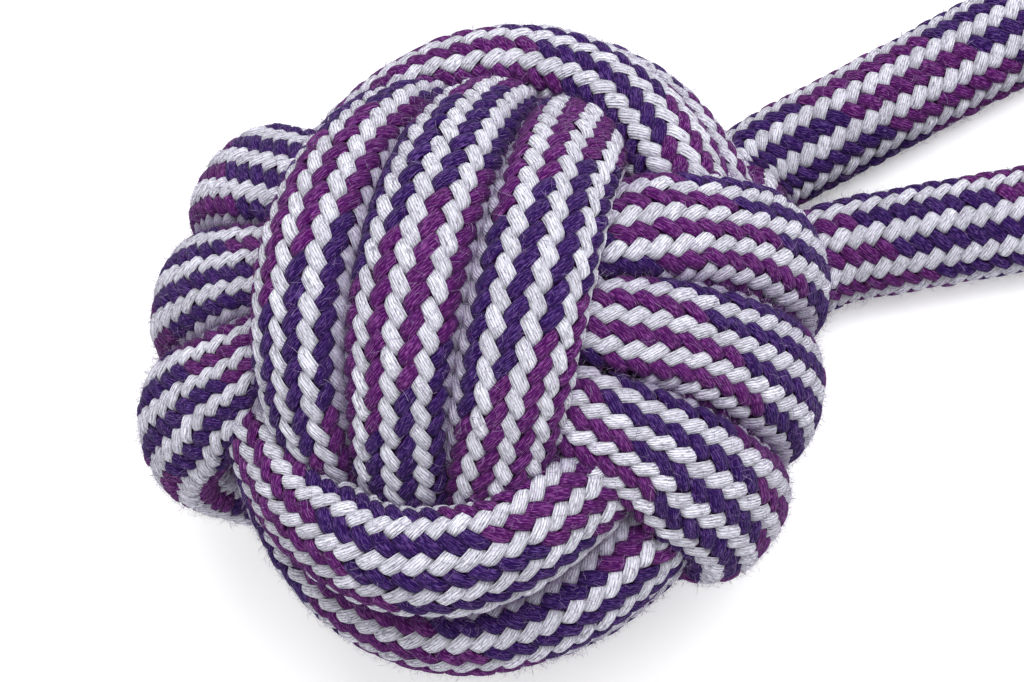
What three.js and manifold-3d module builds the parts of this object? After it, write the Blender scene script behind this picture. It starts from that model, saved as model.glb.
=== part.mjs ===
// Rope fist dog toy: a ball tied in thick braided rope, three turns each way round a core,
// with a loop handle of the same rope. Millimetres, +Z up, the handle lies along +X.
// The origin is on the floor, under the middle of the ball.
import * as THREE from 'three';
import Module from 'manifold-3d';

// Rope
const ROPE_DIAMETER = 12;
const CORD_SIDES = 12;
const WINDING_SIDES = 10;
const STEPS_PER_TURN = 34;

// Fist: the core, and the strands, pressed to a flat oval and laid over one another
const CORE_LENGTH = 43.8;
const CORE_WIDTH = 42;
const CORE_HEIGHT = 37.5;
const LAYER_THICKNESS = 8.3;
const STRAND_WIDTH = 14.4;
const SIDE_STRAND_WIDTH = 16.6;
const STRAND_THICKNESS = 9.6;
const ROUNDNESS = 2;
const STRAND_GAP = 0.8;
const REST_FLAT = 1.2;
const FIST_TURN = -28;
const LANE_CHANGE_ANGLE = 70;

// Handle: where the legs leave the fist, how wide they spread, where the bight folds
const EXIT_STANDOFF = 9.85;
const EXIT_SPACING = 18;
const HANDLE_OFFSET = 16;
const LEG_LENGTH = 92;
const LEG_SPREAD_ANGLE = 9.5;
const BIGHT_LENGTH = 62;
const FOLD_CLEARANCE = 0.4;

const TURN = 2 * Math.PI;
const ropeRadius = ROPE_DIAMETER / 2;
const core = new THREE.Vector3(CORE_LENGTH, CORE_WIDTH, CORE_HEIGHT).divideScalar(2);
// How far out the middles of the strands run: along each of the fist's axes, one layer lies on the core
// and the next on that.
const inner = core.clone().addScalar(LAYER_THICKNESS / 2);
const outer = inner.clone().addScalar(LAYER_THICKNESS);
const exitReach = outer.x + STRAND_THICKNESS / 2 + EXIT_STANDOFF;
const fistAngle = THREE.MathUtils.degToRad(FIST_TURN);
const spreadAngle = THREE.MathUtils.degToRad(LEG_SPREAD_ANGLE);
const UP = new THREE.Vector3(0, 0, 1);

// A handle cord lies on the floor on one of its flats.
const cordFlat = ropeRadius * Math.cos(Math.PI / CORD_SIDES);

// One turn of a winding is a rounded rectangle: far out on the two faces that show,
// nearer in where the next winding covers it. The outer lanes sit a little lower.
function turnPoint(winding, angle) {
  const lane = winding.lane(angle);
  const drop = winding.drop * Math.min(1, lane * lane);
  const facing = Math.cos(angle);
  const c = Math.abs(facing) / (winding.outer - drop);
  const s = Math.abs(Math.sin(angle)) / (winding.inner - drop / 2);
  const reach = (c ** ROUNDNESS + s ** ROUNDNESS) ** (-1 / ROUNDNESS);
  const facePitch = winding.pitch[facing > 0 ? 0 : 1];
  const pitch = winding.innerPitch + (facePitch - winding.innerPitch) * facing * facing;
  const shift = THREE.MathUtils.lerp(winding.shift[1], winding.shift[0], (1 + facing) / 2);
  const point = winding.place(reach * facing, reach * Math.sin(angle), lane * pitch + shift);
  point.x += winding.slide;
  return point;
}

// A strand changes lane once in every turn, over the arc around shiftAt.
function laneRule(first, step, shiftAt) {
  const halfArc = THREE.MathUtils.degToRad(LANE_CHANGE_ANGLE);
  return (angle) => {
    let lane = first;
    for (let turn = 0; turn < 3; turn += 1) {
      const from = shiftAt + turn * TURN - halfArc;
      lane += step * THREE.MathUtils.smoothstep(angle, from, from + 2 * halfArc);
    }
    return lane;
  };
}

// The three windings in the fist's own axes: x to the handle's side, y to the left of it, z up.
// Each is outside the one before it, and the first outside the last.
// Pitch and shift of the lanes are given for the face at angle 0 and the one opposite; slide moves a
// whole winding along x.
const deg = THREE.MathUtils.degToRad;
const windings = {
  first: {
    from: deg(25), to: deg(1000), lane: laneRule(2, -1, 0),
    outer: outer.z, inner: inner.y, pitch: [12.5, 12], innerPitch: 7.3, drop: 2.1,
    shift: [0.9, -0.8], slide: 0,
    place: (out, side, across) => new THREE.Vector3(across, -side, -out),
  },
  second: {
    from: deg(6), to: deg(985), lane: laneRule(-1, 1, deg(270)),
    outer: outer.y, inner: inner.x, pitch: [11.4, 13.5], innerPitch: 8.2, drop: 3.6,
    shift: [0.6, 4.1], slide: 1.6,
    place: (out, side, across) => new THREE.Vector3(side, out, across),
  },
  third: {
    from: deg(-58), to: deg(1005), lane: laneRule(1, -1, deg(270)),
    outer: outer.x, inner: inner.z, pitch: [14.8, 14.9], innerPitch: 5.5, drop: 2.2,
    shift: [-1.7, -0.55], slide: -0.5,
    place: (out, side, across) => new THREE.Vector3(-out, across, -side),
  },
};
// The two middle strands of the lower face lie half a lane off centre, and the ball stands on them.
const centreHeight = windings.first.outer - windings.first.drop / 4 + STRAND_THICKNESS / 2 - REST_FLAT;

function windingRun(winding) {
  const count = Math.round((winding.to - winding.from) / TURN * STEPS_PER_TURN);
  const points = [];
  for (let i = 0; i <= count; i += 1) {
    points.push(turnPoint(winding, winding.from + (winding.to - winding.from) * i / count));
  }
  return points;
}

// A smooth lead between two points whose directions are known.
function lead(start, startDirection, end, endDirection, steps, pull) {
  const points = [];
  const curve = new THREE.CubicBezierCurve3(
    start,
    start.clone().addScaledVector(startDirection, pull),
    end.clone().addScaledVector(endDirection, -pull),
    end,
  );
  for (let i = 0; i < steps; i += 1) {
    points.push(curve.getPoint(i / steps));
  }
  return points;
}

function heading(points, at) {
  const before = points[Math.max(0, at - 1)];
  const after = points[Math.min(points.length - 1, at + 1)];
  return after.clone().sub(before).normalize();
}

// Floor coordinates of the handle, brought into the fist's own axes.
function toFist(x, y, z) {
  return new THREE.Vector3(x, y, z - centreHeight).applyAxisAngle(UP, -fistAngle);
}
function legDirection(side) {
  return new THREE.Vector3(Math.cos(spreadAngle), side * Math.sin(spreadAngle), 0);
}
// A leg's end is a ball on the fold line. The fist's rope stops short of it with a flat face.
const endSetback = cordFlat + FOLD_CLEARANCE;
function rootPoint(side) {
  const along = legDirection(side);
  return toFist(
    exitReach - endSetback * along.x,
    HANDLE_OFFSET + side * EXIT_SPACING / 2 - endSetback * along.y,
    cordFlat,
  );
}

// Centre lines. One handle leg becomes the first winding, and each winding leads to the next.
const firstRun = windingRun(windings.first);
const secondRun = windingRun(windings.second);
const thirdRun = windingRun(windings.third);
const farOut = legDirection(1).applyAxisAngle(UP, -fistAngle);
const nearOut = legDirection(-1).applyAxisAngle(UP, -fistAngle);
const farRoot = rootPoint(1);
const nearRoot = rootPoint(-1);

function joinStart(before) {
  const last = before.length - 1;
  return before[last].clone().addScaledVector(heading(before, last), FOLD_CLEARANCE);
}

const centreLines = {
  winding_first: [
    ...lead(nearRoot, nearOut.clone().negate(),
      firstRun[0], heading(firstRun, 0), 12, ROPE_DIAMETER * 1.5),
    ...firstRun,
  ],
  winding_second: [
    ...lead(joinStart(firstRun), heading(firstRun, firstRun.length - 1),
      secondRun[0], heading(secondRun, 0), 9, ROPE_DIAMETER * 0.8),
    ...secondRun,
  ],
  winding_third: thirdRun,
};

// The rope's other end goes in at the corner between three windings and stays inside.
const cornerHole = core.clone().multiply(new THREE.Vector3(0.9, 0.9, -0.9));
const inward = cornerHole.clone().normalize().negate();
centreLines.buried_end = [
  ...lead(farRoot, farOut.clone().negate(), cornerHole, inward, 12, ROPE_DIAMETER),
  cornerHole,
];

// Rope presses on rope: each section keeps to its own side of the middle between two strands,
// and off the core.
function between(points, at) {
  const index = Math.min(points.length - 2, Math.max(0, Math.floor(at)));
  return points[index].clone().lerp(points[index + 1], at - index);
}
const PARTS_PER_STEP = 4;
const fineLines = {};
for (const [name, line] of Object.entries(centreLines)) {
  const count = (line.length - 1) * PARTS_PER_STEP;
  fineLines[name] = Array.from({ length: count + 1 }, (_, k) => between(line, k / PARTS_PER_STEP));
}

function neighbours(name, at) {
  const here = between(centreLines[name], at);
  const near = [];
  for (const [other, line] of Object.entries(fineLines)) {
    line.forEach((point, k) => {
      const ownNearby = other === name && Math.abs(k / PARTS_PER_STEP - at) < STEPS_PER_TURN / 3;
      if (!ownNearby && point.distanceTo(here) < 2 * ROPE_DIAMETER) {
        near.push(point.clone().sub(here));
      }
    });
  }
  return { here, near };
}

// A strand is a flat oval on the fist, and round where it leaves for the handle. The third winding,
// held by the first alone, spreads wider than the others.
function freeRadius(here, along, direction, width) {
  const outward = here.clone().addScaledVector(along, -here.dot(along)).normalize();
  const lift = direction.dot(outward);
  const side = Math.sqrt(Math.max(0, 1 - lift * lift));
  const oval = 1 / Math.hypot(lift / (STRAND_THICKNESS / 2), side / (width / 2));
  const leaving = THREE.MathUtils.smoothstep(here.length(), outer.x + 2, exitReach);
  return THREE.MathUtils.lerp(oval, ropeRadius, leaving);
}

function pressedRadius({ here, near }, along, direction, width) {
  let radius = freeRadius(here, along, direction, width);
  for (const away of near) {
    const distance = away.length();
    const facing = direction.dot(away) / distance;
    if (facing > 0.05) {
      radius = Math.min(radius, (distance - STRAND_GAP) / 2 / facing);
    }
  }
  const fromCore = here.clone().divide(core);
  const coreNormal = fromCore.clone().divide(core).normalize();
  const coreGap = coreNormal.dot(here) * (1 - 1 / fromCore.length());
  const toCore = -direction.dot(coreNormal);
  if (toCore > 0.05) {
    radius = Math.min(radius, (coreGap - STRAND_GAP) / toCore);
  }
  return radius;
}

// Sections along a centre line, turned as little as possible from one to the next.
// A section takes the least size of the half steps beside it, so that no facet bulges past it.
function pressedSections(name) {
  const width = name === 'winding_third' ? SIDE_STRAND_WIDTH : STRAND_WIDTH;
  const line = centreLines[name];
  const sections = [];
  let normal = new THREE.Vector3().crossVectors(heading(line, 0), UP).normalize();
  line.forEach((centre, index) => {
    const along = heading(line, index);
    normal = normal.addScaledVector(along, -normal.dot(along)).normalize();
    const across = new THREE.Vector3().crossVectors(along, normal);
    const stations = [-0.5, -0.25, 0, 0.25, 0.5]
      .filter((offset) => index + offset >= 0 && index + offset <= line.length - 1)
      .map((offset) => neighbours(name, index + offset));
    const ring = [];
    for (let side = 0; side < WINDING_SIDES; side += 1) {
      const angle = TURN * (side + 0.5) / WINDING_SIDES;
      const direction = normal.clone().multiplyScalar(Math.cos(angle));
      direction.addScaledVector(across, Math.sin(angle));
      const radius = Math.min(...stations.map((station) => pressedRadius(station, along, direction, width)));
      ring.push(centre.clone().addScaledVector(direction, radius));
    }
    sections.push(ring);
  });
  return sections;
}

// A closed skin over the sections, with a flat face at each end.
function skin(sections) {
  const positions = [];
  const index = [];
  const sides = sections[0].length;
  sections.flat().forEach((point) => positions.push(point.x, point.y, point.z));
  for (let i = 0; i + 1 < sections.length; i += 1) {
    for (let k = 0; k < sides; k += 1) {
      const a = i * sides + k;
      const b = i * sides + (k + 1) % sides;
      index.push(a, b, b + sides, a, b + sides, a + sides);
    }
  }
  const last = (sections.length - 1) * sides;
  for (let k = 1; k + 1 < sides; k += 1) {
    index.push(0, k + 1, k, last, last + k, last + k + 1);
  }
  const geometry = new THREE.BufferGeometry();
  geometry.setAttribute('position', new THREE.Float32BufferAttribute(positions, 3));
  geometry.setIndex(index);
  geometry.computeVertexNormals();
  return geometry;
}

// Least distance between different turns of one winding, on the points of its skin.
function leastGap(sections) {
  let least = Infinity;
  for (let i = 0; i < sections.length; i += 1) {
    for (let j = i + Math.round(STEPS_PER_TURN / 2); j < sections.length; j += 1) {
      for (const p of sections[i]) {
        for (const q of sections[j]) {
          least = Math.min(least, p.distanceTo(q));
        }
      }
    }
  }
  return least;
}

const wasm = await Module();
wasm.setup();

function toSolid(geometry) {
  const keys = new Map();
  const vertices = [];
  const flat = geometry.index ? geometry.toNonIndexed() : geometry;
  const position = flat.getAttribute('position');
  const corners = [];
  for (let i = 0; i < position.count; i += 1) {
    const point = [position.getX(i), position.getY(i), position.getZ(i)];
    const key = point.map((value) => Math.round(value * 1e4)).join();
    if (!keys.has(key)) {
      keys.set(key, vertices.length / 3);
      vertices.push(...point);
    }
    corners.push(keys.get(key));
  }
  const triangles = [];
  for (let i = 0; i < corners.length; i += 3) {
    const [a, b, c] = corners.slice(i, i + 3);
    if (a !== b && b !== c && c !== a) {
      triangles.push(a, b, c);
    }
  }
  return new wasm.Manifold(new wasm.Mesh({
    numProp: 3, vertProperties: new Float32Array(vertices), triVerts: new Uint32Array(triangles),
  }));
}
function toGeometry(solid) {
  const mesh = solid.getMesh();
  const geometry = new THREE.BufferGeometry();
  geometry.setAttribute('position', new THREE.BufferAttribute(new Float32Array(mesh.vertProperties), 3));
  geometry.setIndex(new THREE.BufferAttribute(new Uint32Array(mesh.triVerts), 1));
  geometry.computeVertexNormals();
  return geometry;
}

// Handle cord: a round rope with a flat side down, and a ball at each end that folds.
const cordSection = new THREE.Shape(Array.from({ length: CORD_SIDES }, (_, side) => {
  const angle = TURN * (side + 0.5) / CORD_SIDES;
  return new THREE.Vector2(ropeRadius * Math.cos(angle), ropeRadius * Math.sin(angle));
}));
function cord(curve, steps, foldCentres) {
  const along = { steps, extrudePath: curve, bevelEnabled: false };
  const tube = new THREE.ExtrudeGeometry(cordSection, along);
  let solid = toSolid(tube);
  for (const centre of foldCentres) {
    const ball = new THREE.SphereGeometry(cordFlat, CORD_SIDES, 8);
    ball.rotateX(Math.PI / 2);
    ball.translate(centre.x, centre.y, centre.z);
    solid = solid.add(toSolid(ball));
  }
  return toGeometry(solid);
}

function legStart(side) {
  return new THREE.Vector3(exitReach, HANDLE_OFFSET + side * EXIT_SPACING / 2, cordFlat);
}
// The bight starts with a ball on the second fold line, so the leg stops short of it.
function legEnd(side) {
  return legStart(side).addScaledVector(legDirection(side), LEG_LENGTH - endSetback);
}
function bightStart(side) {
  return legStart(side).addScaledVector(legDirection(side), LEG_LENGTH);
}
function leg(side) {
  return cord(new THREE.LineCurve3(legStart(side), legEnd(side)), 4, [legStart(side)]);
}

// The bight: the legs run on a little, then the rope turns back in a round end.
// Each point is a share of the bight's length past the fold and of its half width.
const bightRoute = [[0, 1], [0.26, 1.14], [0.52, 1.16], [0.74, 0.98], [0.93, 0.56], [1, 0]];
function bight() {
  const foldX = bightStart(1).x;
  const halfWidth = bightStart(1).y - HANDLE_OFFSET;
  const far = bightRoute.map(([along, out]) => new THREE.Vector3(
    foldX + along * BIGHT_LENGTH, HANDLE_OFFSET + out * halfWidth, cordFlat,
  ));
  const near = far.slice(0, -1).reverse().map((point) => new THREE.Vector3(
    point.x, 2 * HANDLE_OFFSET - point.y, cordFlat,
  ));
  const route = new THREE.CatmullRomCurve3([...far, ...near], false, 'centripetal');
  return cord(route, 26, [bightStart(1), bightStart(-1)]);
}

const colours = { rope: 0x8a7aa8, core: 0x6b6460 };
function piece(name, geometry, color) {
  const finish = new THREE.MeshStandardMaterial({ color, roughness: 0.95, metalness: 0 });
  const mesh = new THREE.Mesh(geometry, finish);
  mesh.name = name;
  return mesh;
}

const group = new THREE.Group();
const fist = new THREE.Group();
fist.position.set(0, 0, centreHeight);
fist.rotation.z = fistAngle;
group.add(fist);

const coreShape = new THREE.SphereGeometry(1, 20, 12).scale(core.x, core.y, core.z);
fist.add(piece('core_ball', coreShape, colours.core));
for (const name of Object.keys(centreLines)) {
  const sections = pressedSections(name);
  // The rope is pressed flat where it stands on the floor.
  const onFloor = toSolid(skin(sections)).trimByPlane([0, 0, 1], -centreHeight);
  fist.add(piece(name, toGeometry(onFloor), colours.rope));
  if (name.startsWith('winding')) {
    console.log(`${name}: least gap between its turns ${leastGap(sections).toFixed(2)} mm`);
  }
}
group.add(piece('leg_near', leg(-1), colours.rope));
group.add(piece('leg_far', leg(1), colours.rope));
group.add(piece('bight', bight(), colours.rope));

export default group;
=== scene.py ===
import math
from functools import partial
import bpy
import numpy as np
from mathutils import Matrix, Vector


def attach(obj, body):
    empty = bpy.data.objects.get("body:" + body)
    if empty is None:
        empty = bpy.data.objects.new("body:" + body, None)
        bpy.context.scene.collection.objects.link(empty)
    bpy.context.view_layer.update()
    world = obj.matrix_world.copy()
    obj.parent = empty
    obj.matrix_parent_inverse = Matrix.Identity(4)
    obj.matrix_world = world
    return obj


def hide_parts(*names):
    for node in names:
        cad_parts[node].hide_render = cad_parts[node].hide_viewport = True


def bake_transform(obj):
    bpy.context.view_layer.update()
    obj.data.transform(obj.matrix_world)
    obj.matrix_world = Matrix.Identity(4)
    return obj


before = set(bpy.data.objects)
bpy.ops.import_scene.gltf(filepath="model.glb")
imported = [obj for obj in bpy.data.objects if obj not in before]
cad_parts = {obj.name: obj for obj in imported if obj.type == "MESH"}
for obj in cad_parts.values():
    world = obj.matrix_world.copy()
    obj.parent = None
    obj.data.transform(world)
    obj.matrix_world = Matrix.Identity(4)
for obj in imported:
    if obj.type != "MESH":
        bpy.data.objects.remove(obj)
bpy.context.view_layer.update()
scene = bpy.context.scene
scene.view_settings.view_transform = "Standard"


# Camera: the toy lies on a table and is looked down on from close by, so that the ball's upper
# face is nearly square to the view and the handle runs out of the frame at the upper right.
CAMERA_PLACE = (0.040744, -0.129038, 0.371312)
CAMERA_TURN = (
    (0.94246, 0.31753, 0.10462),
    (-0.26279, 0.89705, -0.35532),
    (-0.20668, 0.30738, 0.92887),
)
SENSOR_WIDTH = 36.0
FOCAL_LENGTH = 112.07
NEAREST_SEEN = 0.01
camera = bpy.data.objects.new("camera", bpy.data.cameras.new("camera"))
scene.collection.objects.link(camera)
camera.data.sensor_width = SENSOR_WIDTH
camera.data.lens = FOCAL_LENGTH
camera.data.clip_start = NEAREST_SEEN
camera.matrix_world = Matrix.Translation(CAMERA_PLACE) @ Matrix(CAMERA_TURN).to_4x4()
scene.camera = camera


# The rope is braided cotton, 12 mm thick. Its end is buried in the ball; from there it makes the
# handle, comes back, and is wound three turns each way round the core, over itself.
# Its course is laid out in millimetres in the ball's own axes, the ball turned by 28 degrees.
MM = 0.001
ROPE_RADIUS = 6.0
CORE = np.array((21.9, 21.0, 18.75))
LAYER = 8.3
INNER = CORE + LAYER / 2
OUTER = INNER + LAYER
STRAND_WIDTH = 14.4
SIDE_STRAND_WIDTH = 16.6
STRAND_THICKNESS = 9.6
FIRST_DROP = 2.1
FLATTENED_BY_FLOOR = 1.2
BALL_HEIGHT = OUTER[2] - FIRST_DROP / 4 + STRAND_THICKNESS / 2 - FLATTENED_BY_FLOOR
BALL_CENTRE = np.array((0, 0, BALL_HEIGHT))
BALL_TURN = math.radians(-28.0)


def ball_to_floor(points):
    c, s = math.cos(BALL_TURN), math.sin(BALL_TURN)
    return points @ np.array(((c, s, 0), (-s, c, 0), (0, 0, 1))) + BALL_CENTRE


def floor_to_ball(points):
    c, s = math.cos(BALL_TURN), math.sin(BALL_TURN)
    return (points - BALL_CENTRE) @ np.array(((c, -s, 0), (s, c, 0), (0, 0, 1)))


def smooth_step(x, low, high):
    t = np.clip((x - low) / (high - low), 0, 1)
    return t * t * (3 - 2 * t)


TURNS = 3
WINDING_POINTS = 800
HALF_CHANGE = math.radians(70)
TUCKED_CORNER = 130
TUCKED_SPREAD = 30


def wind(degrees, first_lane, lane_step, change_at, reach, pitch, drop, shift, place, tuck=0.0):
    """Three turns of rope side by side. Each turn is an oval, and changes lane once.
    Reach is given at 0 and 90 degrees, pitch at 0, at 180 and between, shift at 0 and 180.
    The tuck draws one corner of the last turn in by a share of its reach."""
    angle = np.radians(np.linspace(degrees[0], degrees[1], WINDING_POINTS))
    lane = np.full(angle.shape, float(first_lane))
    for turn in range(TURNS):
        change = math.radians(change_at + 360 * turn)
        lane += lane_step * smooth_step(angle, change - HALF_CHANGE, change + HALF_CHANGE)
    lower = drop * np.minimum(1, lane**2)
    facing = np.cos(angle)
    c = np.abs(facing) / (reach[0] - lower)
    s = np.abs(np.sin(angle)) / (reach[1] - lower / 2)
    out = (c**2 + s**2) ** -0.5
    corner = np.exp(-((np.mod(np.degrees(angle), 360) - TUCKED_CORNER) / TUCKED_SPREAD) ** 2)
    out *= 1 - tuck * corner * np.clip(lane, 0, 1)
    face_pitch = np.where(facing > 0, pitch[0], pitch[1])
    across = lane * (pitch[2] + (face_pitch - pitch[2]) * facing**2)
    across += shift[1] + (shift[0] - shift[1]) * (1 + facing) / 2
    return ball_to_floor(np.stack(place(out * facing, out * np.sin(angle), across), 1))


LEAD_POINTS = 62


def lead(before, after, pull):
    """A smooth piece of rope between the end of one run and the start of the next."""
    p0, p3 = before[-1], after[0]
    d0 = before[-1] - before[-2]
    d3 = after[1] - after[0]
    p1 = p0 + d0 / np.linalg.norm(d0) * pull
    p2 = p3 - d3 / np.linalg.norm(d3) * pull
    t = np.linspace(0, 1, LEAD_POINTS)[1:-1, None]
    return (1 - t) ** 3 * p0 + 3 * (1 - t) ** 2 * t * p1 + 3 * (1 - t) * t**2 * p2 + t**3 * p3


SECOND_SLIDE = 2.0
THIRD_SLIDE = -0.5
first_turns = wind(
    degrees=(25, 1000), first_lane=2, lane_step=-1, change_at=0, reach=(OUTER[2], INNER[1]),
    pitch=(12.5, 12.0, 7.3), drop=FIRST_DROP, shift=(0.9, -0.8),
    place=lambda out, side, across: (across, -side, -out),
)
second_turns = wind(
    degrees=(6, 985), first_lane=-1, lane_step=1, change_at=270, reach=(OUTER[1], INNER[0]),
    pitch=(11.4, 13.5, 8.2), drop=3.6, shift=(0.6, 4.1),
    place=lambda out, side, across: (side + SECOND_SLIDE, out, across), tuck=0.14,
)
third_turns = wind(
    degrees=(-58, 1005), first_lane=1, lane_step=-1, change_at=270, reach=(OUTER[0], INNER[2]),
    pitch=(14.8, 14.4, 5.5), drop=2.2, shift=(-1.7, -0.05),
    place=lambda out, side, across: (-out + THIRD_SLIDE, across, -side),
)

# The handle lies on the floor: two legs that spread by 9.5 degrees each way, and a round bight that
# joins them. The solid rope has twelve sides and lies on one of them, which sets the legs' height.
SOLID_SIDES = 12
LEG_HEIGHT = ROPE_RADIUS * math.cos(math.pi / SOLID_SIDES)
LEG_LENGTH = 92.0
LEG_SPREAD = math.radians(9.5)
LEG_POINTS = 60
EXIT = (49.0, 16.0)
EXIT_SPACING = 18.0
BIGHT_LENGTH = 62.0
BIGHT_ROUTE = ((0, 1), (0.26, 1.14), (0.52, 1.16), (0.74, 0.98), (0.93, 0.56), (1, 0))
STRETCH_POINTS = 30
BURIED_AT = np.array((0.9, 0.9, -0.9))
BURIED_DEPTH = 0.94


def leg_line(side, start_before, drawn_in):
    along = np.array((math.cos(LEG_SPREAD), side * math.sin(LEG_SPREAD), 0))
    start = np.array((EXIT[0], EXIT[1] + side * EXIT_SPACING / 2, LEG_HEIGHT))
    way = np.linspace(-start_before, LEG_LENGTH, LEG_POINTS)[:, None]
    return start + along * way - np.array((0, side * drawn_in, 0)) * (1 - way / LEG_LENGTH)


def curve_through(points):
    """A centripetal curve through the points."""
    p = np.concatenate([2 * points[:1] - points[1:2], points, 2 * points[-1:] - points[-2:-1]])
    line = []
    for i in range(1, len(p) - 2):
        g0, g1, g2 = (np.linalg.norm(p[k + 1] - p[k]) ** 0.5 for k in (i - 1, i, i + 1))
        step = (p[i + 1] - p[i]) / g1
        into = (p[i] - p[i - 1]) / g0 - (p[i + 1] - p[i - 1]) / (g0 + g1) + step
        away = step - (p[i + 2] - p[i]) / (g1 + g2) + (p[i + 2] - p[i + 1]) / g2
        t = np.linspace(0, 1, STRETCH_POINTS, endpoint=False)[:, None]
        line.append(
            (2 * t**3 - 3 * t**2 + 1) * p[i] + (t**3 - 2 * t**2 + t) * into * g1
            + (3 * t**2 - 2 * t**3) * p[i + 1] + (t**3 - t**2) * away * g1
        )
    return np.concatenate(line + [p[-2:-1]])


far_leg = leg_line(side=1, start_before=12.0, drawn_in=0.6)
near_leg = leg_line(side=-1, start_before=6.2, drawn_in=0.0)
fold_x = far_leg[-1][0]
half_width = far_leg[-1][1] - EXIT[1]
far_side = [(fold_x + x * BIGHT_LENGTH, EXIT[1] + y * half_width, LEG_HEIGHT) for x, y in BIGHT_ROUTE]
near_side = [(x, 2 * EXIT[1] - y, z) for x, y, z in far_side[-2::-1]]
bight_line = curve_through(np.array(far_side + near_side))
hole = CORE * BURIED_AT
buried = ball_to_floor(np.stack((hole * BURIED_DEPTH, hole)))
course = {
    "buried end": buried,
    "into far leg": lead(buried, far_leg, pull=12),
    "far leg": far_leg,
    "bight": bight_line[1:],
    "near leg": near_leg[-2::-1],
    "into first": lead(near_leg[::-1], first_turns, pull=18),
    "first": first_turns,
    "into second": lead(first_turns, second_turns, pull=9.6),
    "second": second_turns,
}


# The course is cut into even steps, with a frame that never twists along it. The third winding's
# own ends are tucked under the strands of the first, so that it is laid out by itself, with lengths
# that start far past the end of the other rope.
STEP = 1.5
EASING_ROUNDS = 4
THIRD_STARTS_AT = 3000.0


def ease(values):
    """Even out a row of values in place, apart from its two ends."""
    values[1:-1] = (values[:-2] + 2 * values[1:-1] + values[2:]) / 4


def lengths_along(points):
    return np.concatenate([[0], np.cumsum(np.linalg.norm(np.diff(points, axis=0), axis=1))])


def even_steps(points):
    length_at = lengths_along(points)
    stations = np.arange(int(length_at[-1] / STEP) + 1) * STEP
    line = np.stack([np.interp(stations, length_at, points[:, k]) for k in range(3)], 1)
    for _ in range(EASING_ROUNDS):
        ease(line)
    along = np.gradient(line, axis=0)
    along /= np.linalg.norm(along, axis=1)[:, None]
    side = np.zeros_like(line)
    last = np.cross(along[0], (0, 0, 1))
    for i, tangent in enumerate(along):
        last = last - tangent * (last @ tangent)
        last /= np.linalg.norm(last)
        side[i] = last
    return stations, line, along, side


course_points = np.concatenate(list(course.values()))
course_lengths = lengths_along(course_points)
part_ends = dict(zip(course, np.cumsum([len(part) for part in course.values()])))
main_s, main_line, main_along, main_side = even_steps(course_points)
third_s, third_line, third_along, third_side = even_steps(third_turns)
third_first = len(main_s)
rope_s = np.concatenate([main_s, third_s + THIRD_STARTS_AT])
rope_line = np.concatenate([main_line, third_line])
rope_along = np.concatenate([main_along, third_along])
rope_side = np.concatenate([main_side, third_side])
rope_across = np.cross(rope_along, rope_side)
count = len(rope_s) - 1


def station(part, share):
    """The station at a share of one named part of the rope's course."""
    first = part_ends[part] - len(course[part])
    at = first + share * (part_ends[part] - 1 - first)
    return int(round(np.interp(at, np.arange(len(course_lengths)), course_lengths) / STEP))


# Rope presses on rope. A strand is a flat oval on the ball and round on the handle, and each section
# is cut at the middle between two strands, at the core and at the floor, then smoothed. Where one
# strand lies across another, it may also fill the room up to a plane along both.
SIDES = 32
RISE = 0.62
TOP_ROOM = 0.6 * RISE
SIDE_ROOM = 1.4 * RISE
THIRD_SIDE_ROOM = RISE
HANDLE_ROOM = 0.2 * RISE
LEAVES_BALL_FROM = OUTER[0] + 2
UNPRESSED = 20.0
LEAST_FACING = 0.05
OWN_BEND = 45
NEIGHBOUR_REACH = 26
HALF_GAP = 0.25
CROSSING_SINE = 0.6
THINNEST_CROSSING = 0.3
THINNEST = 1.2
PRESSING_ROUNDS = 2
DOWN = np.array(((0, 0, -1),))
ring = np.arange(SIDES) * 2 * math.pi / SIDES
spokes = np.cos(ring)[None, :, None] * rope_side[:, None]
spokes = spokes + np.sin(ring)[None, :, None] * rope_across[:, None]
from_centre = rope_line - BALL_CENTRE
outward = from_centre - rope_along * (from_centre * rope_along).sum(1)[:, None]
outward /= np.linalg.norm(outward, axis=1)[:, None]
lift = (spokes * outward[:, None]).sum(2)
half_thick = STRAND_THICKNESS / 2 - TOP_ROOM
half_wide = np.full((count + 1, 1), STRAND_WIDTH / 2 - SIDE_ROOM)
half_wide[third_first:] = SIDE_STRAND_WIDTH / 2 - THIRD_SIDE_ROOM
oval = 1 / np.sqrt((lift / half_thick) ** 2 + (1 - lift**2).clip(0) / half_wide**2)
leaving = smooth_step(np.linalg.norm(from_centre, axis=1), LEAVES_BALL_FROM, EXIT[0])[:, None]
free = oval * (1 - leaving) + (ROPE_RADIUS - HANDLE_ROOM) * leaving
ball_line = floor_to_ball(rope_line)
in_core = ball_line / CORE
core_normal = in_core / CORE
core_normal /= np.linalg.norm(core_normal, axis=1)[:, None]
core_gap = (core_normal * ball_line).sum(1) * (1 - 1 / np.linalg.norm(in_core, axis=1))
core_normal = ball_to_floor(core_normal) - BALL_CENTRE


def room_beside(directions, normals, room):
    """How far a strand reaches along each direction, up to the nearest of the planes that hold it."""
    facing = directions @ normals.T
    return np.where(facing > LEAST_FACING, room / np.maximum(facing, LEAST_FACING), UNPRESSED).min(1)


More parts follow.
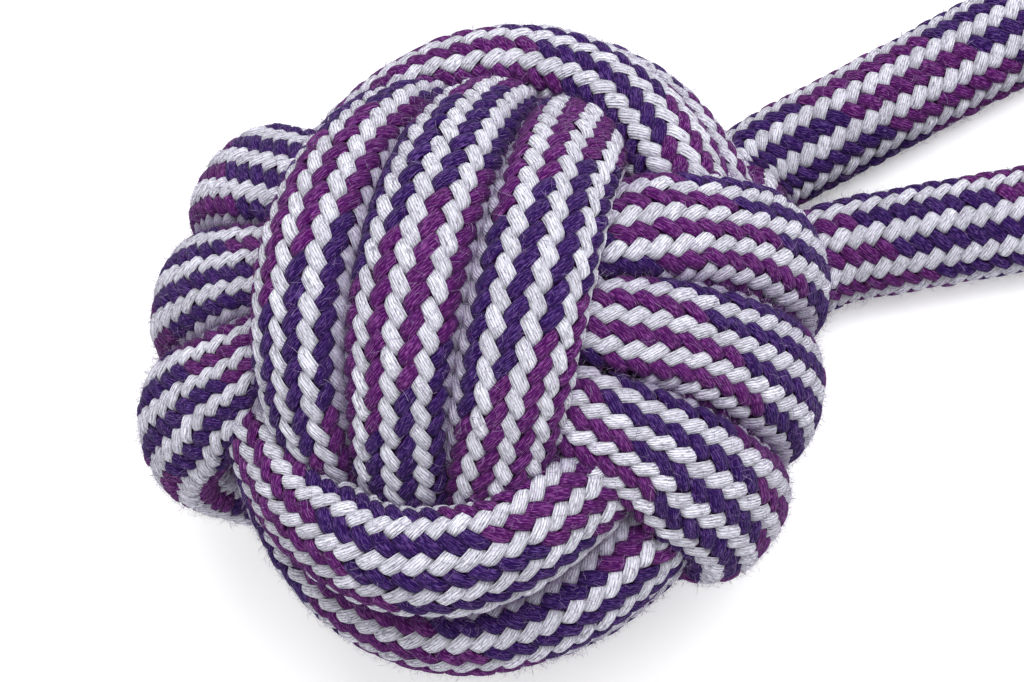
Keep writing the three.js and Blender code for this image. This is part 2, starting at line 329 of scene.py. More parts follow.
limit = np.full(free.shape, UNPRESSED)
for i in range(count + 1):
    away = rope_line - rope_line[i]
    distance = np.linalg.norm(away, axis=1)
    near = np.flatnonzero((np.abs(rope_s - rope_s[i]) > OWN_BEND) & (distance < NEIGHBOUR_REACH))
    breaks = np.flatnonzero(np.diff(rope_s[near]) > 2 * STEP) + 1
    for run in np.split(near, breaks) if len(near) else []:
        held = room_beside(spokes[i], away[run] / distance[run][:, None], distance[run] / 2 - HALF_GAP)
        closest = run[distance[run].argmin()]
        common = np.cross(rope_along[i], rope_along[closest])
        sine = np.linalg.norm(common)
        if sine > CROSSING_SINE and abs(away[closest] @ rope_along[i]) < SIDE_STRAND_WIDTH / 2:
            apart = common @ away[closest] / sine
            across_both = common[None] / sine * np.sign(apart)
            crossing_room = max(THINNEST_CROSSING, abs(apart) / 2 - HALF_GAP)
            held = np.maximum(held, room_beside(spokes[i], across_both, crossing_room))
        limit[i] = np.minimum(limit[i], held)
    limit[i] = np.minimum(limit[i], room_beside(spokes[i], -core_normal[i][None], core_gap[i]))
    limit[i] = np.minimum(limit[i], room_beside(spokes[i], DOWN, rope_line[i][2] - RISE))
radius = np.minimum(free, np.maximum(limit, THINNEST))
for _ in range(PRESSING_ROUNDS):
    radius = (np.roll(radius, 1, 1) + 2 * radius + np.roll(radius, -1, 1)) / 4
    ease(radius[:third_first])
    ease(radius[third_first:])
skin = rope_line[:, None] + spokes * radius[:, :, None]
pressed = np.maximum(0, 1 - radius / free)

# Loose fibres gather in the valleys between strands, on the outer side of the ball: from where the
# next strand comes close, down to where the two are pressed together. The same mask darkens the
# floats there: partly the haze of these fibres, partly painted shade.
VALLEY_CLOSENESS = (1.0, 1.5)
VALLEY_BOTTOM = (0.30, 0.45)
VALLEY_OUTER_SIDE = (-0.2, 0.2)
valley = (1 - smooth_step(limit / free, *VALLEY_CLOSENESS)) * (1 - smooth_step(pressed, *VALLEY_BOTTOM))
valley *= smooth_step(lift, *VALLEY_OUTER_SIDE) * (1 - leaving)

# Round each section, the points are set at even distances, as the yarns lie. Where the strand is
# pressed the yarns spread, so that more of them lie close together on its open side.
YARN_SPREAD = 0.9
MOST_SPREAD_AT = 0.4
even_shares = np.arange(SIDES) / SIDES
for i in range(count + 1):
    loop = np.concatenate([skin[i], skin[i, :1]])
    open_share = 1 - YARN_SPREAD * np.minimum((pressed[i] + np.roll(pressed[i], -1)) / 2, MOST_SPREAD_AT)
    way = np.concatenate([[0], np.cumsum(np.linalg.norm(np.diff(loop, axis=0), axis=1) * open_share)])
    way /= way[-1]
    wanted = np.mod(even_shares + (way[:-1] - even_shares).mean(), 1.0)
    skin[i] = np.stack([np.interp(wanted, way, loop[:, k]) for k in range(3)], 1)
    for values in (pressed, valley):
        values[i] = np.interp(wanted, way, np.append(values[i], values[i, 0]))


def rope_surface(name, start, end):
    """The smooth skin of the rope between two stations, with its length and its way round as UV."""
    rows = end - start + 1
    points = skin[start : end + 1].reshape(-1, 3) * MM
    faces = []
    uv = []
    for i in range(rows - 1):
        low, high = i / (rows - 1), (i + 1) / (rows - 1)
        for k in range(SIDES):
            n = (k + 1) % SIDES
            faces.append((i * SIDES + k, i * SIDES + n, (i + 1) * SIDES + n, (i + 1) * SIDES + k))
            left, right = k / SIDES, (k + 1) / SIDES
            uv += [low, left, low, right, high, right, high, left]
    mesh = bpy.data.meshes.new(name)
    mesh.from_pydata(points.tolist(), [], faces, shade_flat=False)
    mesh.uv_layers.new(name="rope_uv").data.foreach_set("uv", uv)
    for label, values in (("pressed", pressed), ("valley", valley)):
        kept = mesh.attributes.new(label, "FLOAT", "POINT")
        kept.data.foreach_set("value", values[start : end + 1].ravel())
    made = bpy.data.objects.new(name, mesh)
    scene.collection.objects.link(made)
    return made


# The braid is the rope's sheath: 32 yarns, 16 each way, each passing over two and under two, so
# that their floats stand in 16 rows along the rope. One way is pale, the other 8 magenta, 8 violet.
BRAID_COLUMNS = 16
YARNS_PER_COLOUR = 8
LOOSE_PITCH = 2.16
TIGHT_PITCH = 2.32
FLOAT_LENGTH = 0.54
FLOAT_WIDTH = 0.275
BRAID_SEED = 7
STRAY_ALONG = 0.14
STRAY_AROUND = 0.007
HIDDEN_WHEN_PRESSED = 0.24
BLUNT_END = 5.0
END_DIP = 1.1
ROUND_SIDE = 2.4
SIDE_DIP = 0.75
LEAST_RISE = 0.8
UNEVEN_RISE = 0.4
SKIN_EDGE = 0.0002
LINING_DEPTH = 0.0003


def node(tree, kind, inputs=None, **settings):
    made = tree.nodes.new(kind)
    for name, value in settings.items():
        setattr(made, name, value)
    for key, value in (inputs or {}).items():
        if isinstance(value, bpy.types.NodeSocket):
            tree.links.new(value, made.inputs[key])
        else:
            made.inputs[key].default_value = value
    return made


def calc(tree, operation, *values):
    return node(tree, "ShaderNodeMath", dict(enumerate(values)), operation=operation).outputs[0]


def socket(tree, name, kind, way="INPUT"):
    return tree.interface.new_socket(name, in_out=way, socket_type="NodeSocket" + kind)


def keep(tree, geometry, name, value, kind="FLOAT"):
    """Store a value on the points of a geometry; a plain number is the same on all of them."""
    inputs = {"Geometry": geometry, "Name": name, "Value": value}
    made = node(tree, "GeometryNodeStoreNamedAttribute", inputs, data_type=kind, domain="POINT")
    return made.outputs["Geometry"]


def attribute(tree, name, kind="FLOAT"):
    made = node(tree, "GeometryNodeInputNamedAttribute", {"Name": name}, data_type=kind)
    return made.outputs["Attribute"]


def braid_tree():
    """Floats of yarn set in rows on the rope's skin, over a lining painted dark as the shade inside the
    sheath.
    """
    tree = bpy.data.node_groups.new("braid", "GeometryNodeTree")
    socket(tree, "Geometry", "Geometry", "OUTPUT")
    for name, kind in (
        ("Skin", "Geometry"), ("Length", "Float"), ("Start", "Float"), ("First Row", "Int"),
        ("Rows", "Int"), ("Columns", "Int"), ("Pitch", "Float"), ("Float Length", "Float"),
        ("Float Width", "Float"), ("Rise", "Float"), ("Yarns per Colour", "Int"), ("Seed", "Int"),
        ("Cotton", "Material"),
    ):
        socket(tree, name, kind)
    given = tree.nodes.new("NodeGroupInput").outputs
    sums = partial(calc, tree)
    stored = partial(keep, tree)
    named = partial(attribute, tree)

    def on_skin(value, at, kind="FLOAT_VECTOR"):
        inputs = {0: given["Skin"], 1: value, 2: named("rope_uv", "FLOAT_VECTOR"), 3: at}
        return node(tree, "GeometryNodeSampleUVSurface", inputs, data_type=kind).outputs[0]

    def flat_vector(x, y):
        return node(tree, "ShaderNodeCombineXYZ", {0: x, 1: y, 2: 0.0}).outputs[0]

    # Pale floats sit a quarter of the way along their row, dark ones three quarters.
    columns, pitch = given["Columns"], given["Pitch"]
    index = tree.nodes.new("GeometryNodeInputIndex").outputs[0]
    column = sums("MODULO", index, columns)
    row = sums("ADD", sums("FLOOR", sums("DIVIDE", index, columns)), given["First Row"])
    dark = sums("MODULO", column, 2.0)
    row_place = sums("ADD", row, sums("MULTIPLY_ADD", dark, 0.5, 0.25))
    along = sums("SUBTRACT", sums("MULTIPLY", row_place, pitch), given["Start"])
    around = sums("DIVIDE", sums("ADD", column, 0.5), columns)
    both_colours = sums("MULTIPLY", given["Yarns per Colour"], 2.0)
    yarn = sums("FLOORED_MODULO", sums("SUBTRACT", column, row), both_colours)
    second = sums("GREATER_THAN", yarn, sums("SUBTRACT", given["Yarns per Colour"], 0.5))
    seats = sums("MULTIPLY", columns, given["Rows"])
    points = node(tree, "GeometryNodePoints", {"Count": seats}).outputs[0]
    points = stored(points, "yarn", sums("MULTIPLY", dark, sums("ADD", second, 1.0)))
    points = stored(points, "slant", sums("MULTIPLY_ADD", dark, 2.0, -1.0))
    chance = node(tree, "FunctionNodeRandomValue", {"Seed": given["Seed"]}, data_type="FLOAT").outputs[1]
    other_chance = sums("FRACT", sums("MULTIPLY", chance, 13.0))
    stray = sums("SUBTRACT", other_chance, 0.5)
    along = sums("MULTIPLY_ADD", sums("MULTIPLY", stray, STRAY_ALONG), pitch, along)
    around = sums("MULTIPLY_ADD", sums("SUBTRACT", chance, 0.5), STRAY_AROUND, around)
    points = stored(points, "seat", flat_vector(along, around), "FLOAT_VECTOR")
    points = stored(points, "tint", chance)
    seat = node(tree, "ShaderNodeSeparateXYZ", {0: named("seat", "FLOAT_VECTOR")}).outputs
    seat_uv = flat_vector(sums("DIVIDE", seat[0], given["Length"]), seat[1])
    hidden = sums("GREATER_THAN", on_skin(named("pressed"), seat_uv, "FLOAT"), HIDDEN_WHEN_PRESSED)
    points = node(tree, "GeometryNodeDeleteGeometry", {"Geometry": points, "Selection": hidden}).outputs[0]

    # One float is a short block of yarns, blunt at both ends, where it dives under its neighbours.
    position = tree.nodes.new("GeometryNodeInputPosition").outputs[0]
    normal = tree.nodes.new("GeometryNodeInputNormal").outputs[0]
    grid = {"Size X": 2.0, "Size Y": 2.0, "Vertices X": 7, "Vertices Y": 4}
    leaf = stored(node(tree, "GeometryNodeMeshGrid", grid).outputs[0], "lay", position, "FLOAT_VECTOR")
    leaves = node(tree, "GeometryNodeInstanceOnPoints", {"Points": points, "Instance": leaf}).outputs[0]
    leaves = node(tree, "GeometryNodeRealizeInstances", {"Geometry": leaves}).outputs[0]
    lay = node(tree, "ShaderNodeSeparateXYZ", {0: named("lay", "FLOAT_VECTOR")}).outputs
    slant, tint = named("slant"), named("tint")
    run = sums("MULTIPLY", lay[0], given["Float Length"])
    breadth = sums("MULTIPLY", lay[1], given["Float Width"])
    leaf_along = sums("MULTIPLY_ADD", sums("MULTIPLY_ADD", slant, breadth, run), pitch, seat[0])
    sideways = sums("SUBTRACT", sums("MULTIPLY", slant, run), breadth)
    leaf_around = sums("ADD", seat[1], sums("DIVIDE", sideways, columns))
    end_fall = sums("MULTIPLY", sums("POWER", sums("ABSOLUTE", lay[0]), BLUNT_END), END_DIP)
    rounded = sums("MULTIPLY_ADD", sums("POWER", sums("ABSOLUTE", lay[1]), ROUND_SIDE), -SIDE_DIP, 1.0)
    crown = sums("SUBTRACT", rounded, end_fall)
    uneven = sums("MULTIPLY_ADD", tint, UNEVEN_RISE, LEAST_RISE)
    rise = sums("MULTIPLY", sums("MULTIPLY", given["Rise"], crown), uneven)
    leaf_share = sums("MAXIMUM", sums("DIVIDE", leaf_along, given["Length"]), SKIN_EDGE)
    leaf_share = sums("MINIMUM", leaf_share, 1 - SKIN_EDGE)
    leaf_uv = flat_vector(leaf_share, sums("FLOORED_MODULO", leaf_around, 1.0))
    outward_here = on_skin(normal, leaf_uv)
    outward_here = node(tree, "ShaderNodeVectorMath", {0: outward_here}, operation="NORMALIZE").outputs[0]
    lifted = node(tree, "ShaderNodeVectorMath", {0: outward_here, 3: rise}, operation="SCALE").outputs[0]
    spot = node(tree, "ShaderNodeVectorMath", {0: on_skin(position, leaf_uv), 1: lifted}, operation="ADD")
    leaves = stored(leaves, "crown", crown)
    # The valley mask goes to each float, where the cotton paints it as nap haze and painted shade.
    leaves = stored(leaves, "haze_and_shade", on_skin(named("valley"), leaf_uv, "FLOAT"))
    moved = {"Geometry": leaves, "Position": spot.outputs[0]}
    leaves = node(tree, "GeometryNodeSetPosition", moved).outputs[0]

    # Under the floats lies the inside of the sheath: a lining at the lowest crown, painted dark as shade.
    inward = node(tree, "ShaderNodeVectorMath", {0: normal, 3: -LINING_DEPTH}, operation="SCALE").outputs[0]
    lining = node(tree, "GeometryNodeSetPosition", {"Geometry": given["Skin"], "Offset": inward}).outputs[0]
    lining = stored(lining, "crown", -1.0)
    lining = stored(lining, "yarn", 1.0)
    joined = tree.nodes.new("GeometryNodeJoinGeometry")
    tree.links.new(lining, joined.inputs[0])
    tree.links.new(leaves, joined.inputs[0])
    smooth = node(tree, "GeometryNodeSetShadeSmooth", {"Geometry": joined.outputs[0]}).outputs[0]
    whole = node(tree, "GeometryNodeRealizeInstances", {"Geometry": smooth}).outputs[0]
    cotton_on = {"Geometry": whole, "Material": given["Cotton"]}
    dressed = node(tree, "GeometryNodeSetMaterial", cotton_on).outputs[0]
    tree.links.new(dressed, tree.nodes.new("NodeGroupOutput").inputs[0])
    return tree


# Yarn colours are given as pale, magenta, violet: the dyed yarns, the flecks of single fibres in
# them, and in the valleys the haze of mixed fibres on them with painted shade, darker than the dye.
YARN_COLOURS = ((0.72, 0.71, 0.81), (0.063, 0.0042, 0.085), (0.018, 0.0038, 0.067))
FLECK_COLOURS = ((0.17, 0.17, 0.20), (0.30, 0.085, 0.33), (0.14, 0.07, 0.28))
HAZE_AND_SHADE_COLOURS = ((0.14, 0.095, 0.22), (0.040, 0.005, 0.062), (0.018, 0.005, 0.058))
MOST_FLECK = 0.75
MOST_HAZE_AND_SHADE = 0.6
YARNS_ON_FLOAT = 6
YARN_WAVER = 0.25
YARN_ROUNDNESS = 0.6
YARN_BUMP = 0.00016
STREAK_BUMP_SHARE = 0.5

# Each pair says how much a pattern lightens the dye, and what is left at its darkest.
YARN_LIGHT = (0.36, 0.70)
STREAK_LIGHT = (0.9, 0.52)
FLOAT_LIGHT = (0.22, 0.92)


def cotton_material():
    """Loose-spun cotton: each float shows about six yarns side by side, soft and without gloss."""
    made = bpy.data.materials.new("braided_cotton")
    made.use_nodes = True
    tree = made.node_tree
    shader = tree.nodes["Principled BSDF"]
    shader.inputs["Roughness"].default_value = 0.92
    shader.inputs["Specular IOR Level"].default_value = 0.06
    shader.inputs["Sheen Weight"].default_value = 0.06
    shader.inputs["Sheen Roughness"].default_value = 0.45
    sums = partial(calc, tree)

    def named(name):
        return node(tree, "ShaderNodeAttribute", attribute_name=name).outputs

    def by_yarn(pale, magenta, violet):
        ramp = node(tree, "ShaderNodeValToRGB", {0: sums("DIVIDE", named("yarn")["Fac"], 2.0)})
        ramp.color_ramp.interpolation = "CONSTANT"
        stops = ramp.color_ramp.elements
        stops[0].position, stops[0].color = 0.0, (*pale, 1)
        stops[1].position, stops[1].color = 0.25, (*magenta, 1)
        stops.new(0.75).color = (*violet, 1)
        return ramp.outputs[0]

    def noise_on_float(along, across, apart, detail):
        at = node(tree, "ShaderNodeCombineXYZ", {
            0: sums("MULTIPLY", lay[0], along), 1: sums("MULTIPLY", lay[1], across),
            2: sums("MULTIPLY", tint, apart)}).outputs[0]
        noise = node(tree, "ShaderNodeTexNoise", {"Vector": at, "Scale": 1.0, "Detail": detail})
        return noise.outputs["Fac"]

    def ranged(value, low, high, at_low, at_high):
        return node(tree, "ShaderNodeMapRange", {
            "Value": value, "From Min": low, "From Max": high,
            "To Min": at_low, "To Max": at_high}).outputs[0]

    def mixed(share, colour, other):
        return node(tree, "ShaderNodeMix", {0: share, 6: colour, 7: other}, data_type="RGBA").outputs[2]

    lay = node(tree, "ShaderNodeSeparateXYZ", {0: named("lay")["Vector"]}).outputs
    tint = named("tint")["Fac"]
    crown = named("crown")["Fac"]
    streak = noise_on_float(along=1.4, across=8.0, apart=64.0, detail=3.0)
    wavy_breadth = sums("MULTIPLY_ADD", streak, YARN_WAVER, lay[1])
    wave = sums("ABSOLUTE", sums("SINE", sums("MULTIPLY", wavy_breadth, YARNS_ON_FLOAT / 2 * math.pi)))
    yarns = sums("POWER", wave, YARN_ROUNDNESS)
    yarn_light = sums("MULTIPLY_ADD", yarns, *YARN_LIGHT)
    shade = sums("MULTIPLY", yarn_light, sums("MULTIPLY_ADD", streak, *STREAK_LIGHT))
    # Painted shade: each float is darker towards its edges and ends, where it dips under its neighbours;
    # the lining, at the lowest crown, is darkest.
    shade = sums("MULTIPLY", shade, ranged(crown, low=-0.6, high=0.8, at_low=0.42, at_high=1.05))
    shade = sums("MULTIPLY", shade, sums("MULTIPLY_ADD", tint, *FLOAT_LIGHT))
    dyed = by_yarn(*YARN_COLOURS)
    colour = node(tree, "ShaderNodeVectorMath", {0: dyed, 3: shade}, operation="SCALE").outputs[0]
    speckle = noise_on_float(along=2.6, across=9.0, apart=150.0, detail=1.0)
    fleck_spots = ranged(speckle, low=0.50, high=0.66, at_low=0.0, at_high=MOST_FLECK)
    on_top = ranged(crown, low=-0.4, high=0.2, at_low=0.0, at_high=1.0)
    flecks = sums("MULTIPLY", fleck_spots, on_top)
    colour = mixed(flecks, colour, by_yarn(*FLECK_COLOURS))
    # In the valleys the floats are mixed towards darker colours: partly the nap's haze, partly painted
    # shade.
    haze_and_shade = sums("MULTIPLY", named("haze_and_shade")["Fac"], MOST_HAZE_AND_SHADE)
    colour = mixed(haze_and_shade, colour, by_yarn(*HAZE_AND_SHADE_COLOURS))
    tree.links.new(colour, shader.inputs["Base Color"])
    height = sums("MULTIPLY_ADD", streak, STREAK_BUMP_SHARE, yarns)
    bump = node(tree, "ShaderNodeBump", {"Height": height, "Strength": 0.8, "Distance": YARN_BUMP})
    tree.links.new(bump.outputs[0], shader.inputs["Normal"])
    return made


# The nap is what use and washing rub off the yarns: loose fibres, half a millimetre to 1.6 mm long,
# that stand off the rope wherever it is open, and lie thicker in the valleys between strands.
FIBRES_PER_SQUARE_METRE = 4.4e6
VALLEY_NAP = 1.0
FIBRE_LENGTH = 1.6
FIBRE_WIDTH = 0.03
ROOT_HEIGHT = 0.8 * RISE
SHORTEST_FIBRE = 0.3
LONG_ONES_RARE = 2.5
FIBRE_ARCH = 0.8
OPEN_WHEN_PRESSED = 0.2
LEAST_TILT = (0.1, -0.7, 0.0)
MOST_TILT = (1.0, 0.7, 2 * math.pi)
TILT_SEED = 11
LENGTH_SEED = 12
TINT_SEED = 13
NAP_VIOLET = (0.05, 0.022, 0.15, 1)
NAP_MAGENTA = (0.13, 0.032, 0.17, 1)
NAP_PALE = (0.40, 0.35, 0.48, 1)


def fuzz_tree():
    """Fibres as narrow bent ribbons, rooted at random on the open skin, clear of the floor."""
    tree = bpy.data.node_groups.new("fuzz", "GeometryNodeTree")
    socket(tree, "Geometry", "Geometry", "OUTPUT")
    for name, kind in (
        ("Skin", "Geometry"), ("Fibres", "Float"), ("Valley Nap", "Float"), ("Fibre Length", "Float"),
        ("Fibre Width", "Float"), ("Root Height", "Float"), ("Seed", "Int"), ("Cotton", "Material"),
    ):
        socket(tree, name, kind)
    given = tree.nodes.new("NodeGroupInput").outputs
    sums = partial(calc, tree)

    def chance(seed):
        return node(tree, "FunctionNodeRandomValue", {"Seed": seed}, data_type="FLOAT").outputs[1]

    position = tree.nodes.new("GeometryNodeInputPosition").outputs[0]
    place = node(tree, "ShaderNodeSeparateXYZ", {0: position}).outputs
    open_skin = sums("LESS_THAN", attribute(tree, "pressed"), OPEN_WHEN_PRESSED)
    thickness = sums("MULTIPLY_ADD", attribute(tree, "valley"), given["Valley Nap"], open_skin)
    off_floor = sums("GREATER_THAN", place[2], given["Fibre Length"])
    shown = sums("MULTIPLY", given["Fibres"], sums("MULTIPLY", thickness, off_floor))
    scatter = {"Mesh": given["Skin"], "Density": shown, "Seed": given["Seed"]}
    roots = node(tree, "GeometryNodeDistributePointsOnFaces", scatter).outputs
    strip = {"Size X": 1.0, "Size Y": 1.0, "Vertices X": 2, "Vertices Y": 3}
    ribbon = node(tree, "GeometryNodeMeshGrid", strip).outputs[0]
    share = sums("ADD", place[1], 0.5)
    arch = sums("MULTIPLY", sums("SUBTRACT", share, sums("MULTIPLY", share, share)), FIBRE_ARCH)
    bent = node(tree, "ShaderNodeCombineXYZ", {
        0: sums("MULTIPLY", place[0], given["Fibre Width"]),
        1: sums("MULTIPLY", share, given["Fibre Length"]),
        2: sums("MULTIPLY", arch, given["Fibre Length"])}).outputs[0]
    ribbon = node(tree, "GeometryNodeSetPosition", {"Geometry": ribbon, "Position": bent}).outputs[0]
    tilt = node(tree, "FunctionNodeRandomValue", {0: LEAST_TILT, 1: MOST_TILT, "Seed": TILT_SEED},
                data_type="FLOAT_VECTOR").outputs[0]
    spun = node(tree, "FunctionNodeEulerToRotation", {0: tilt}).outputs[0]
    two_turns = {0: roots["Rotation"], 1: spun}
    turned = node(tree, "FunctionNodeRotateRotation", two_turns, rotation_space="LOCAL")
    few_long = sums("POWER", chance(LENGTH_SEED), LONG_ONES_RARE)
    size = sums("MULTIPLY_ADD", few_long, 1 - SHORTEST_FIBRE, SHORTEST_FIBRE)
    off_skin = {0: roots["Normal"], 3: given["Root Height"]}
    up = node(tree, "ShaderNodeVectorMath", off_skin, operation="SCALE")
    raised = {"Geometry": roots["Points"], "Offset": up.outputs[0]}
    origin = node(tree, "GeometryNodeSetPosition", raised).outputs[0]
    origin = keep(tree, origin, "tint", chance(TINT_SEED))
    planted = {"Points": origin, "Instance": ribbon, "Rotation": turned.outputs[0], "Scale": size}
    fibres = node(tree, "GeometryNodeInstanceOnPoints", planted).outputs[0]
    fibres = node(tree, "GeometryNodeRealizeInstances", {"Geometry": fibres}).outputs[0]
    cotton_on = {"Geometry": fibres, "Material": given["Cotton"]}
    dressed = node(tree, "GeometryNodeSetMaterial", cotton_on).outputs[0]
    tree.links.new(dressed, tree.nodes.new("NodeGroupOutput").inputs[0])
    return tree


def fuzz_material():
    """The nap's fibres come from all the yarns, and are lighter than the dyed ones they come from."""
    made = bpy.data.materials.new("cotton_nap")
    made.use_nodes = True
    tree = made.node_tree
    shader = tree.nodes["Principled BSDF"]
    shader.inputs["Roughness"].default_value = 0.95
    shader.inputs["Specular IOR Level"].default_value = 0.1
    tint = node(tree, "ShaderNodeAttribute", attribute_name="tint").outputs["Fac"]
    ramp = node(tree, "ShaderNodeValToRGB", {0: tint})
    stops = ramp.color_ramp.elements
    stops[0].position, stops[0].color = 0.0, NAP_VIOLET
    stops[1].position, stops[1].color = 1.0, NAP_PALE
    stops.new(0.6).color = NAP_MAGENTA
    tree.links.new(ramp.outputs[0], shader.inputs["Base Color"])
    return made


braid = braid_tree()
fuzz = fuzz_tree()
cotton = cotton_material()
nap = fuzz_material()


def grown(name, low, high, tree, values):
    """What one of the two trees makes on the rope's skin between two stations, as one plain mesh."""
    surface = rope_surface(name + "_skin", low, high)
    modifier = surface.modifiers.new(tree.name, "NODES")
    modifier.node_group = tree
    for item in tree.interface.items_tree:
        if item.in_out == "INPUT" and item.name in values:
            modifier[item.identifier] = values[item.name]
    graph = bpy.context.evaluated_depsgraph_get()
    mesh = bpy.data.meshes.new_from_object(surface.evaluated_get(graph))
    mesh.name = name
    bare_skin = surface.data
    bpy.data.objects.remove(surface)
    bpy.data.meshes.remove(bare_skin)
    made = bpy.data.objects.new(name, mesh)
    scene.collection.objects.link(made)
    return made


SKIN_OVERLAP = 3


def braided_rope(name, start, end, pitch, row_zero=0.0):
    """The braid between two stations, its rows counted from a place along the rope."""
    first, last = (0, third_first - 1) if start < third_first else (third_first, count)
    low, high = max(start - SKIN_OVERLAP, first), min(end + SKIN_OVERLAP, last)
    first_row = math.ceil((rope_s[start] - row_zero) / pitch)
    next_row = math.ceil((rope_s[end] - row_zero) / pitch)
    return grown(name, low, high, braid, {
        "Length": (rope_s[high] - rope_s[low]) * MM, "Start": (rope_s[low] - row_zero) * MM,
        "First Row": first_row, "Rows": next_row - first_row, "Columns": BRAID_COLUMNS,
        "Pitch": pitch * MM, "Float Length": FLOAT_LENGTH, "Float Width": FLOAT_WIDTH, "Rise": RISE * MM,
        "Yarns per Colour": YARNS_PER_COLOUR, "Seed": BRAID_SEED, "Cotton": cotton,
    })


def rope_fuzz(name, start, end, seed):
    return grown(name, start, end, fuzz, {
        "Fibres": FIBRES_PER_SQUARE_METRE, "Valley Nap": VALLEY_NAP, "Fibre Length": FIBRE_LENGTH * MM,
        "Fibre Width": FIBRE_WIDTH * MM, "Root Height": ROOT_HEIGHT * MM, "Seed": seed, "Cotton": nap,
    })


# The handle: two legs and a bight of the same rope. The rows of its looser braid run on into the
# ball's at the near root. The piece at the bight takes in the last tenth of each leg.
BIGHT_SHARE_OF_LEG = 0.1
NEAR_ROOT_SHARE = 0.25
LEGS_FOLD = ((0.040, 0.016, 0.006), (0.058, 0.016, 0.006))
BIGHT_FOLD = ((0.1310, 0.016, 0.006), (0.1490, 0.016, 0.006))
far_top = station("far leg", 1 - BIGHT_SHARE_OF_LEG)
near_top = station("near leg", BIGHT_SHARE_OF_LEG)
near_root = station("into first", NEAR_ROOT_SHARE)
handle_row_zero = round(rope_s[near_root] / TIGHT_PITCH) * (TIGHT_PITCH - LOOSE_PITCH)
for name, start, end, exit_station, seed, solids, bodies, fold in (
    ("far", 0, far_top, 0, 2, ("leg_far", "buried_end"), ("fist", "legs"), LEGS_FOLD),
    ("bight", far_top, near_top, far_top, 3, ("bight",), ("legs", "bight"), BIGHT_FOLD),
    ("near", near_top, near_root, near_root, 4, ("leg_near",), ("fist", "legs"), LEGS_FOLD),
):
    handle = braided_rope("handle_" + name, start, end, LOOSE_PITCH, handle_row_zero)
    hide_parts(*solids)
    handle_nap = rope_fuzz("fuzz_" + name, start, end, seed)
    for piece in (handle, handle_nap):
        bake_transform(piece)
    path = rope_line[start : end + 1] * MM
    run = float(np.linalg.norm(np.diff(path, axis=0), axis=1).sum())


# The ball's three windings, each of three turns of the rope pulled tight over the one before it.
# Nothing but the pull holds them. The nap of each is made in two halves, to keep the pieces small.
second_start = station("into second", 0.5)
for name, start, end in (
    ("winding_first", near_root, second_start),
    ("winding_second", second_start, third_first - 1),
    ("winding_third", third_first, count),
):
    winding = braided_rope("rope_" + name, start, end, TIGHT_PITCH)
    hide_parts(name)
    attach(winding, "fist")
    middle = (start + end) // 2
    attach(rope_fuzz("fuzz_" + name + "_a", start, middle, seed=5), "fist")
    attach(rope_fuzz("fuzz_" + name + "_b", middle, end, seed=6), "fist")


# The core: a plain ball of hard rubber foam, dark grey and finely grained. The windings are tied
# round it, hold it and hide it.
CORE_GRAINS = 900.0
CORE_DARK = (0.05, 0.046, 0.044, 1)
CORE_PALE = (0.12, 0.11, 0.10, 1)
core_rubber = bpy.data.materials.new("core_rubber")
core_rubber.use_nodes = True
core_tree = core_rubber.node_tree
core_shader = core_tree.nodes["Principled BSDF"]
core_shader.inputs["Roughness"].default_value = 0.8
core_place = core_tree.nodes.new("ShaderNodeTexCoord").outputs["Object"]
grain = node(core_tree, "ShaderNodeTexNoise", {"Vector": core_place, "Scale": CORE_GRAINS, "Detail": 2.0})
core_tone = node(core_tree, "ShaderNodeValToRGB", {0: grain.outputs["Fac"]})
core_tone.color_ramp.elements[0].color = CORE_DARK
core_tone.color_ramp.elements[1].color = CORE_PALE
core_tree.links.new(core_tone.outputs[0], core_shader.inputs["Base Color"])
core_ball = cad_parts["core_ball"]
core_ball.data.materials.clear()
core_ball.data.materials.append(core_rubber)


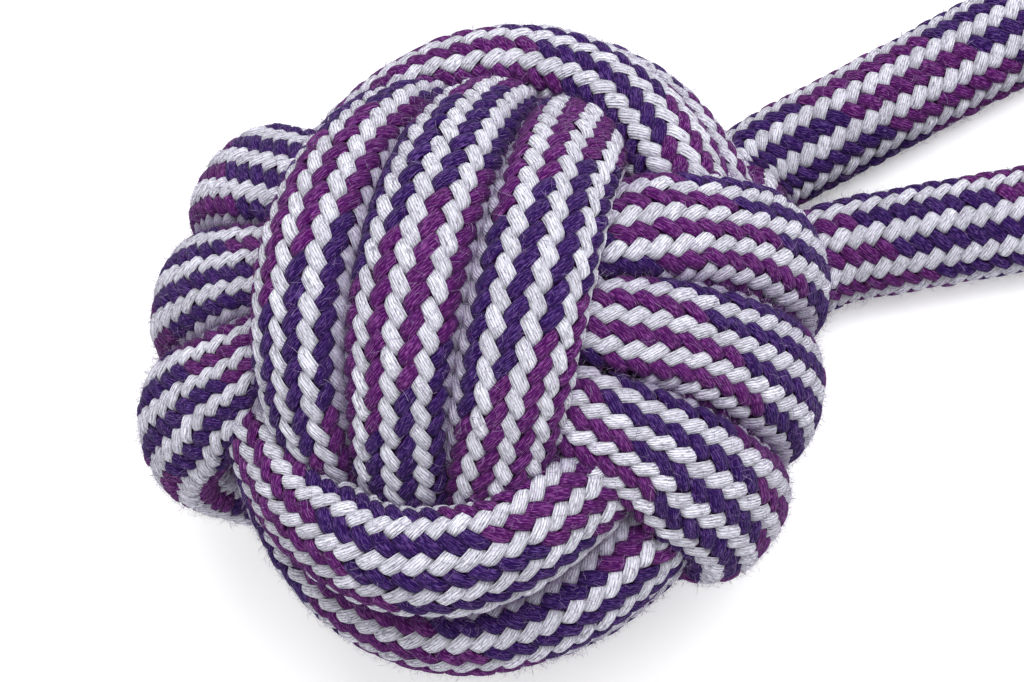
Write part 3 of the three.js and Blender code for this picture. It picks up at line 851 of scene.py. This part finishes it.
# Floor and light: a pale paper table under wide soft light, the brighter lamp above and to the
# right. Paper and sky are whitened for the eye alone, which puts no more light on the toy.
FLOOR_REACH = 3
FLOOR_WHITENING = 0.36
SKY_LIGHT = 0.52
WHITE = (1, 1, 1, 1)
floor_corners = [(x * FLOOR_REACH, y * FLOOR_REACH, 0) for x, y in ((-1, -1), (1, -1), (1, 1), (-1, 1))]
floor_mesh = bpy.data.meshes.new("floor")
floor_mesh.from_pydata(floor_corners, [], [(0, 1, 2, 3)])
floor = bpy.data.objects.new("floor", floor_mesh)
scene.collection.objects.link(floor)


def seen_directly(tree):
    """1 for what the camera sees, also mirrored or through glass; 0 for light on its way to the toy."""
    rays = tree.nodes.new("ShaderNodeLightPath").outputs
    mirrored = calc(tree, "MAXIMUM", rays["Is Glossy Ray"], rays["Is Transmission Ray"])
    return calc(tree, "MAXIMUM", rays["Is Camera Ray"], mirrored)


paper = bpy.data.materials.new("paper")
paper.use_nodes = True
paper_shader = paper.node_tree.nodes["Principled BSDF"]
paper_shader.inputs["Base Color"].default_value = (0.88, 0.88, 0.885, 1)
paper_shader.inputs["Roughness"].default_value = 0.9
paper_shader.inputs["Specular IOR Level"].default_value = 0.1
paper_shader.inputs["Emission Color"].default_value = WHITE
whitening = calc(paper.node_tree, "MULTIPLY", seen_directly(paper.node_tree), FLOOR_WHITENING)
paper.node_tree.links.new(whitening, paper_shader.inputs["Emission Strength"])
floor_mesh.materials.append(paper)

world = bpy.data.worlds.new("studio")
scene.world = world
world.use_nodes = True
sky_tree = world.node_tree
sky = sky_tree.nodes["Background"]
sky.inputs["Color"].default_value = WHITE
sky_strength = calc(sky_tree, "MULTIPLY_ADD", seen_directly(sky_tree), 1 - SKY_LIGHT, SKY_LIGHT)
sky_tree.links.new(sky_strength, sky.inputs["Strength"])


def soft_box(name, place, size, power):
    """A square lamp that faces the place on the floor under the ball."""
    lamp = bpy.data.lights.new(name, "AREA")
    lamp.shape = "SQUARE"
    lamp.size = size
    lamp.energy = power
    made = bpy.data.objects.new(name, lamp)
    scene.collection.objects.link(made)
    made.location = place
    made.rotation_mode = "QUATERNION"
    made.rotation_quaternion = (-Vector(place)).to_track_quat("-Z", "Y")


soft_box("key", place=(0.28, 0.1, 0.8), size=0.6, power=7.5)
soft_box("fill", place=(-0.6, -0.4, 0.7), size=0.8, power=1.8)
